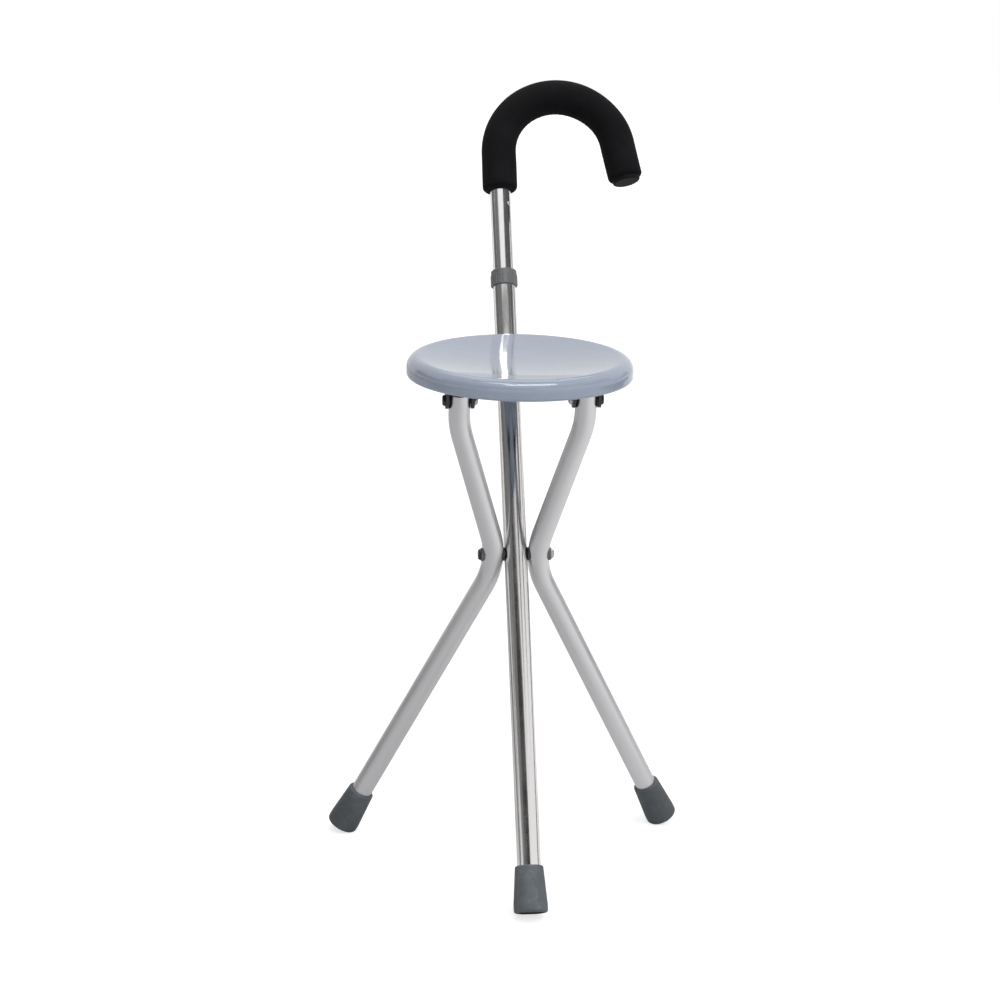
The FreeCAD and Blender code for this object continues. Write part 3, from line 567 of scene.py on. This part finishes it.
def leg_run(size):
    """Path of the right leg in the leg plane, from its top down to the middle of its sole.

    The two slopes and the two bends give the length of each run.  The foot is
    as long as it takes to bring the sole to its height over the floor.
    """
    high, low = size.splay_high, size.splay_low
    mid_x = size.leg_hub_half + size.hub_bend * (1 - cos(high))
    slope = (size.leg_top_half - mid_x - size.top_bend * (1 - cos(high))) / sin(high)
    top_v = PIVOT_RISE + size.leg_past_pivot
    bend_v = (size.hub_bend + size.top_bend) * sin(high) + slope * cos(high)
    tilt = acos(cos(low) * cos(LEG_LEAN))
    sole_v = (sole_height(size, size.leg_sole, tilt) - HUB[2]) / cos(LEG_LEAN)
    foot = (-sole_v - size.hub_bend * sin(low)) / cos(low)
    runs = [(top_v - bend_v, 0.0), (size.top_bend * high, -high), (slope, 0.0),
            (size.hub_bend * (high + low), high + low), (foot, 0.0)]
    return Run((size.leg_top_half, top_v), -pi / 2, runs)


def pole_run(size):
    """Straight path down the pole, from the hub to the middle of the front sole."""
    drop = (HUB[2] - sole_height(size, size.pole_sole, POLE_LEAN)) / cos(POLE_LEAN)
    return Run((0.0, 0.0), -pi / 2, [(drop, 0.0)])


# Washer under a leg's tube, roundings of the tube's cut ends and length of its facets, in metres
TIP_WASHER = 0.0015
LEG_END_EDGE = 0.0004
LEG_END_BORE_EDGE = 0.0003
LEG_STEP = 0.006


class STICKSEAT_OT_legs(StickOperator, Operator):
    """Sweep the two bent leg tubes"""

    bl_idname = "stick_seat.legs"
    bl_label = "Bent Legs"

    def execute(self, context):
        size = sizes()
        material = swept_metal("Leg_Metal", colours().leg, rough=0.33, streak=0.04)
        path = leg_run(size)
        outer = size.leg_diameter / 2
        inner = outer - size.leg_wall
        end = path.total - size.tip_base - TIP_WASHER
        corners = [(0.0, inner, LEG_END_BORE_EDGE), (0.0, outer, LEG_END_EDGE),
                   (end, outer, LEG_END_EDGE), (end, inner, LEG_END_BORE_EDGE)]
        outline = refine(rounded(corners, count=4), LEG_STEP)
        grid = sweep(path, UP_LEGS, outline, size.turns)
        for side, name in ((1.0, "right_leg"), (-1.0, "left_leg")):
            leg = grid_object(name.title(), grid * (side, 1.0, 1.0), outline[:, 0], "leg_body", material)
            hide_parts(name)
        return {"FINISHED"}


# The foam's bore rounding, facet length, swell, crease depth and the creases' fade, in metres
FOAM_BORE_EDGE = 0.0006
FOAM_STEP = 0.0022
FOAM_SWELL = 0.00018
FOAM_CREASE = 0.00022
CREASE_FADE = 0.02


class STICKSEAT_OT_grip(StickOperator, Operator):
    """Sweep the foam grip round the crook"""

    bl_idname = "stick_seat.grip"
    bl_label = "Foam Grip"

    def execute(self, context):
        size, c = sizes(), colours()
        open_turn = pi - size.crook_open
        bend_start = size.crook_rise - size.grip_start
        path = Run((0.0, size.grip_start), pi / 2, [
            (bend_start, 0.0), (size.crook_radius * open_turn, -open_turn), (size.crook_end, 0.0)])
        bend_end = path.total - size.crook_end
        outer, inner = size.grip_diameter / 2, size.grip_bore / 2
        corners = [(0.0, inner, FOAM_BORE_EDGE), (0.0, outer, size.grip_edge),
                   (path.total, outer, size.grip_edge), (path.total, inner, FOAM_BORE_EDGE)]
        outline = refine(rounded(corners, count=9), FOAM_STEP)

        def ripple(s, a):
            """Slow swell along the foam, and shallow creases inside the bend.

            The swell is a sine of s whose phase wanders with s and a.  The
            creases are a raised sine of s times the square of -cos a, which
            is 1 inside the bend, and they fade out at the bend's two ends.
            """
            inside = np.clip(-np.cos(a), 0, 1) ** 2
            after_start = np.clip((s - bend_start) / CREASE_FADE, 0, 1)
            before_end = np.clip((bend_end - s) / CREASE_FADE, 0, 1)
            swell = FOAM_SWELL * np.sin(55 * s + 1.3 * np.sin(31 * s) + np.cos(a))
            folds = 0.5 + 0.5 * np.sin(900 * s + 2 * np.sin(140 * s))
            return swell - FOAM_CREASE * inside * (after_start * before_end) * folds

        grid = sweep(path, UP_POLE, outline, size.turns * 2, ripple)
        grip = grid_object("Foam_Grip", grid, outline[:, 0], "handle_body", foam("Grip_Foam", c.foam))
        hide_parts("foam_grip")
        finish_node(plastic("Plug_Plastic", c.plug, rough=0.7, grain=2600.0, relief=0.00006, gloss=0.15),
                    "grip_end_plug", "leg_top_caps")
        return {"FINISHED"}


# Fine sizes of the rubber tips in metres, then shares of the hollow sole's radius
TIP_BORE_GAP = 0.00005
TIP_CREASE = 0.0004
TIP_MOUTH_EDGE = 0.0002
TIP_FLARE = 0.02
TIP_STEP = 0.002
RING_OUTSIDE, RING_INSIDE, STUD = 0.72, 0.50, 0.25
# The front tip is painted lighter than the back ones, a painted sheen, and has more painted shade at its
# floor edge
FRONT_TIP_PAINTED_SHEEN = 1.35
FRONT_TIP_FLOOR_SHADE = 0.8


def tip_outline(size, base, tube, wall, sole):
    """Section of a rubber cup whose sole is at distance base along the path.

    It has a flared side, a rounded lip, and a ring and a stud in its hollow
    sole, whose radii are shares of the hollow's.
    """
    outer = sole / 2
    bore = tube / 2 + TIP_BORE_GAP
    mouth = tube / 2 + wall
    hollow = outer - size.sole_rim
    top = base - size.tip_height
    inner_floor = base - size.tip_base
    hollow_floor = base - size.tread_depth
    tread = base - size.tread_drop
    corners = [
        (inner_floor, 0.0, 0.0), (inner_floor, bore, TIP_CREASE), (top, bore, TIP_MOUTH_EDGE),
        (top, mouth, size.tip_lip), (base - size.tip_band, outer, TIP_FLARE),
        (base, outer, size.tip_edge), (base, hollow, 2 * TIP_CREASE), (hollow_floor, hollow, TIP_CREASE)]
    steps = ((hollow_floor, RING_OUTSIDE), (tread, RING_OUTSIDE), (tread, RING_INSIDE),
             (hollow_floor, RING_INSIDE), (hollow_floor, STUD), (tread, STUD))
    corners += [(place, share * hollow, TIP_CREASE) for place, share in steps]
    corners.append((tread, 0.0, 0.0))
    return refine(rounded(corners, count=7), TIP_STEP)


def bedded(grid):
    """Presses what lies under the floor up to it."""
    pressed = grid.copy()
    pressed[..., 2] = np.maximum(pressed[..., 2], 0.0)
    return pressed


class STICKSEAT_OT_tips(StickOperator, Operator):
    """Turn the three rubber tips on their tubes"""

    bl_idname = "stick_seat.tips"
    bl_label = "Rubber Tips"

    def execute(self, context):
        size, base = sizes(), colours().rubber
        plain = rubber("Tip_Rubber", base)
        pole_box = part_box("main_pole")
        pole_tube = pole_box[1][0] - pole_box[0][0]
        path = pole_run(size)
        outline = tip_outline(size, path.total, pole_tube, size.pole_tip_wall, size.pole_sole)
        grid = bedded(sweep(path, UP_POLE, outline, size.turns))
        # The front tip's rubber is a lighter copy of the same rubber: painted sheen
        sheen_base = [FRONT_TIP_PAINTED_SHEEN * channel for channel in base]
        sheen_rubber = rubber("Front_Tip_Rubber", sheen_base, floor_shade=FRONT_TIP_FLOOR_SHADE)
        front = grid_object("Front_Tip", grid, outline[:, 0], "pole_body", sheen_rubber)
        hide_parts("pole_tip")
        path = leg_run(size)
        outline = tip_outline(size, path.total, size.leg_diameter, size.leg_tip_wall, size.leg_sole)
        grid = bedded(sweep(path, UP_LEGS, outline, size.turns))
        for side, name, node in ((1.0, "Right_Tip", "right_leg_tip"), (-1.0, "Left_Tip", "left_leg_tip")):
            tip = grid_object(name, grid * (side, 1.0, 1.0), outline[:, 0], "leg_body", plain)
            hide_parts(node)
        return {"FINISHED"}


class STICKSEAT_OT_seat(StickOperator, Operator):
    """Finish the moulded seat, its brackets and fork, the catch, and the hub's spacers and washers"""

    bl_idname = "stick_seat.seat"
    bl_label = "Seat"

    def execute(self, context):
        c = colours()
        finish_node(seat_finish("Seat_Plastic", c.seat), "seat_shell")
        finish_node(plastic("Bracket_Plastic", c.dark_plastic, rough=0.45, grain=2400.0, relief=0.00006),
                    "left_seat_bracket", "right_seat_bracket", "seat_fork", "catch_collar", "leg_spacers")
        finish_node(plastic("Washer_Plastic", c.washer, rough=0.45, grain=2400.0, relief=0.00006),
                    "hub_axle_washers")
        return {"FINISHED"}


class STICKSEAT_OT_fittings(StickOperator, Operator):
    """Finish the bolts, nuts, bushes and other small fittings"""

    bl_idname = "stick_seat.fittings"
    bl_label = "Fittings"

    def execute(self, context):
        c = colours()
        finish_node(plated("Dark_Steel", c.dark_steel, rough=0.36),
                    "hub_axle_bolt", "pivot_bolts", "seat_bracket_screws", "fork_screws", "catch_screw")
        finish_node(plated("Bright_Steel", c.bright_steel, rough=0.28),
                    "hub_axle_nut", "pivot_nuts", "catch_nut", "stop_rivet", "snap_button_clip",
                    "pole_tip_washer", "leg_tip_washers")
        finish_node(plastic("Bush_Nylon", c.nylon, rough=0.5, grain=1800.0, relief=0.00005, blotch=0.05),
                    "collet_bush", "guide_plug", "pole_hub_bush", "leg_hub_bushes", "leg_pivot_bushes")
        return {"FINISHED"}


# Studio

CAMERA_TARGET = Vector((-0.01744, HUB[1], 0.38408))
CAMERA_DISTANCE = 2.8
CAMERA_DOWN = radians(15.737)
CAMERA_SIDE = radians(6.824)
CAMERA_ROLL = radians(1.143)
CAMERA_FAR = 50.0
SENSOR_MM = 36.0
FOCAL_WIDTHS = 2.7297
CARD_MIDDLE = Vector((0.0, 0.0, 0.4))
CARD_REACH = 4.5
FLOOR_HALF = 6.0
FLOOR_LIFT = 0.70
FLOOR_GLOSS_LEFT = 0.17
FLOOR_GLOSS_RISE = 0.45
AROUND = (0.29, 0.29, 0.295, 1.0)
BLACK = (0.0, 0.0, 0.0, 1.0)
WHITE = (1.0, 1.0, 1.0, 1.0)


def camera():
    """Camera at the photograph's viewing angle.

    It looks along (sin side cos down, cos side cos down, -sin down) at the
    target, and is turned round that line by the roll.
    """
    level = Vector((cos(CAMERA_SIDE), -sin(CAMERA_SIDE), 0.0))
    flat = cos(CAMERA_DOWN)
    view = Vector((sin(CAMERA_SIDE) * flat, cos(CAMERA_SIDE) * flat, -sin(CAMERA_DOWN)))
    upright = level.cross(view)
    right = cos(CAMERA_ROLL) * level + sin(CAMERA_ROLL) * upright
    up = cos(CAMERA_ROLL) * upright - sin(CAMERA_ROLL) * level
    data = bpy.data.cameras.new("Camera")
    data.sensor_width = SENSOR_MM
    data.lens = FOCAL_WIDTHS * SENSOR_MM
    data.clip_end = CAMERA_FAR
    eye = bpy.data.objects.new("Camera", data)
    turn = Matrix((right, up, -view)).transposed().to_4x4()
    eye.matrix_world = Matrix.Translation(CAMERA_TARGET - view * CAMERA_DISTANCE) @ turn
    bpy.context.scene.collection.objects.link(eye)
    bpy.context.scene.camera = eye


def lamp(name, toward, spread, strength):
    """Soft sun from a direction, spread over an angle in degrees and left out of reflections."""
    data = bpy.data.lights.new(name, "SUN")
    data.angle = radians(spread)
    data.energy = strength
    light = bpy.data.objects.new(name, data)
    light.rotation_euler = Vector(toward).to_track_quat("Z", "Y").to_euler()
    light.visible_glossy = False
    bpy.context.scene.collection.objects.link(light)


def board(name, corners, material):
    """Flat four-sided sheet of the studio, which isn't part of the object."""
    mesh = bpy.data.meshes.new(name)
    mesh.from_pydata(corners, [], [(0, 1, 2, 3)])
    mesh.materials.append(material)
    sheet = bpy.data.objects.new(name, mesh)
    bpy.context.scene.collection.objects.link(sheet)
    return sheet


def card(name, turn, rise, width, height, level, reach=CARD_REACH):
    """Plain card of an even grey level that faces the object, seen by reflections alone.

    It stands at reach metres in the direction (sin turn cos rise, -cos turn
    cos rise, sin rise) from the middle of the object and spans width by height,
    all four in degrees.
    """
    turn, rise = radians(turn), radians(rise)
    out = Vector((sin(turn) * cos(rise), -cos(turn) * cos(rise), sin(rise)))
    centre = CARD_MIDDLE + reach * out
    across = Vector((0.0, 0.0, 1.0)).cross(out).normalized() * (reach * tan(radians(width / 2)))
    up = out.cross(across).normalized() * (reach * tan(radians(height / 2)))
    corners = [centre - across - up, centre + across - up, centre + across + up, centre - across + up]
    glow = Shader(name).finish(Base_Color=BLACK, Roughness=1.0, Specular_IOR_Level=0.0,
                               Emission_Color=(level, level, level, 1.0), Emission_Strength=1.0)
    sheet = board(name, corners, glow)
    sheet.visible_camera = False
    sheet.visible_diffuse = False
    sheet.visible_shadow = False


def surroundings():
    """Even grey world that camera, glossy and glass rays see as white."""
    world = bpy.data.worlds.new("Studio")
    world.use_nodes = True
    tree = world.node_tree
    tree.nodes.clear()
    path = tree.nodes.new("ShaderNodeLightPath")
    seen = path.outputs["Is Camera Ray"]
    for ray in ("Is Glossy Ray", "Is Transmission Ray"):
        either = tree.nodes.new("ShaderNodeMath")
        either.operation = "MAXIMUM"
        tree.links.new(seen, either.inputs[0])
        tree.links.new(path.outputs[ray], either.inputs[1])
        seen = either.outputs[0]
    blend = tree.nodes.new("ShaderNodeMixShader")
    tree.links.new(seen, blend.inputs[0])
    for place, shade in ((1, AROUND), (2, WHITE)):
        backdrop = tree.nodes.new("ShaderNodeBackground")
        backdrop.inputs["Color"].default_value = shade
        tree.links.new(backdrop.outputs[0], blend.inputs[place])
    output = tree.nodes.new("ShaderNodeOutputWorld")
    tree.links.new(blend.outputs[0], output.inputs["Surface"])
    bpy.context.scene.world = world


def floor():
    """Pale floor; camera rays see it lifted to white, less where it is in shadow.

    Reflections see it lifted less, and more on the right than on the left.
    """
    shader = Shader("Floor_Paper")
    fibre = shader.noise(shader.coordinates(), 400.0)
    base = colours().floor
    shade = shader.mix(fibre, tone(base, 0.985), tone(base, 1.0))
    right = shader.step(shader.axis(shader.coordinates(), "X"), low=-0.5, high=1.0)
    path = shader.add("ShaderNodeLightPath", {}, {})
    in_gloss = path["Is Glossy Ray"] * (FLOOR_GLOSS_LEFT + right * FLOOR_GLOSS_RISE)
    glow = shader.mix(path["Is Camera Ray"] * FLOOR_LIFT + in_gloss, BLACK, WHITE)
    paper = shader.finish(Base_Color=shade, Roughness=0.9, Emission_Color=glow, Emission_Strength=1.0)
    signs = ((-1, -1), (1, -1), (1, 1), (-1, 1))
    board("Floor", [(x * FLOOR_HALF, y * FLOOR_HALF, 0) for x, y in signs], paper)


class STICKSEAT_OT_stage(StickOperator, Operator):
    """Set the floor, soft lamps, reflection cards and camera"""

    bl_idname = "stick_seat.stage"
    bl_label = "Studio"

    def execute(self, context):
        surroundings()
        floor()
        camera()
        lamp("Overhead", (0.30, -0.42, 1.0), 75.0, 1.45)
        lamp("Right_Front", (0.75, -0.75, 0.60), 40.0, 0.18)
        card("Front_Dark", -24.0, 34.0, 58.0, 20.0, 0.02)
        card("Front_Left_Grey", -66.0, 30.0, 54.0, 32.0, 0.19)
        card("Left_Grey", -110.0, 15.0, 50.0, 18.0, 0.14)
        card("Left_Low_Dark", -90.0, -5.8, 90.0, 9.0, 0.18, reach=2.2)
        card("Top_Grey", 5.0, 46.5, 40.0, 5.0, 0.45)
        card("Near_Grey", 0.0, 74.4, 47.0, 8.4, 0.32, reach=0.393)
        card("Top_Light", 14.0, 72.0, 34.0, 16.0, 10.0)
        card("Rim_Light", -62.0, 75.5, 17.0, 11.0, 7.0)
        card("Back_Light", 175.0, 64.0, 36.0, 50.0, 2.2)
        card("Right_High_Dark", 52.0, 44.5, 40.0, 17.0, 0.10)
        card("Right_Dark", 85.0, 32.0, 34.0, 22.0, 0.10)
        card("Right_Grey", 116.0, 10.5, 34.0, 10.0, 0.36)
        card("Right_Low_Dark", 104.0, -7.2, 52.0, 6.5, 0.05, reach=2.2)
        context.scene.view_settings.view_transform = "Standard"
        return {"FINISHED"}


# Panel and run

class STICKSEAT_PT_panel(Panel):
    """Lists the steps and the values they read"""

    bl_idname = "STICKSEAT_PT_panel"
    bl_label = "Walking Stick Seat"
    bl_space_type = "VIEW_3D"
    bl_region_type = "UI"
    bl_category = "Stick Seat"

    def draw(self, context):
        layout = self.layout
        for operator in OPERATORS:
            layout.operator(operator.bl_idname)
        for group in (context.scene.stick_seat_sizes, context.scene.stick_seat_colours):
            box = layout.box()
            for name in group.bl_rna.properties.keys():
                if name not in ("rna_type", "name"):
                    box.prop(group, name)


OPERATORS = (STICKSEAT_OT_pole, STICKSEAT_OT_legs, STICKSEAT_OT_grip, STICKSEAT_OT_tips, STICKSEAT_OT_seat,
             STICKSEAT_OT_fittings, STICKSEAT_OT_stage)
CLASSES = (StickSeatSizes, StickSeatColours, *OPERATORS, STICKSEAT_PT_panel)


def register():
    for cls in CLASSES:
        bpy.utils.register_class(cls)
    bpy.types.Scene.stick_seat_sizes = PointerProperty(type=StickSeatSizes)
    bpy.types.Scene.stick_seat_colours = PointerProperty(type=StickSeatColours)


def unregister():
    del bpy.types.Scene.stick_seat_colours
    del bpy.types.Scene.stick_seat_sizes
    for cls in reversed(CLASSES):
        bpy.utils.unregister_class(cls)


def main():
    register()
    bpy.ops.stick_seat.pole()
    bpy.ops.stick_seat.legs()
    bpy.ops.stick_seat.grip()
    bpy.ops.stick_seat.tips()
    bpy.ops.stick_seat.seat()
    bpy.ops.stick_seat.fittings()
    bpy.ops.stick_seat.stage()


if __name__ == "__main__":
    main()
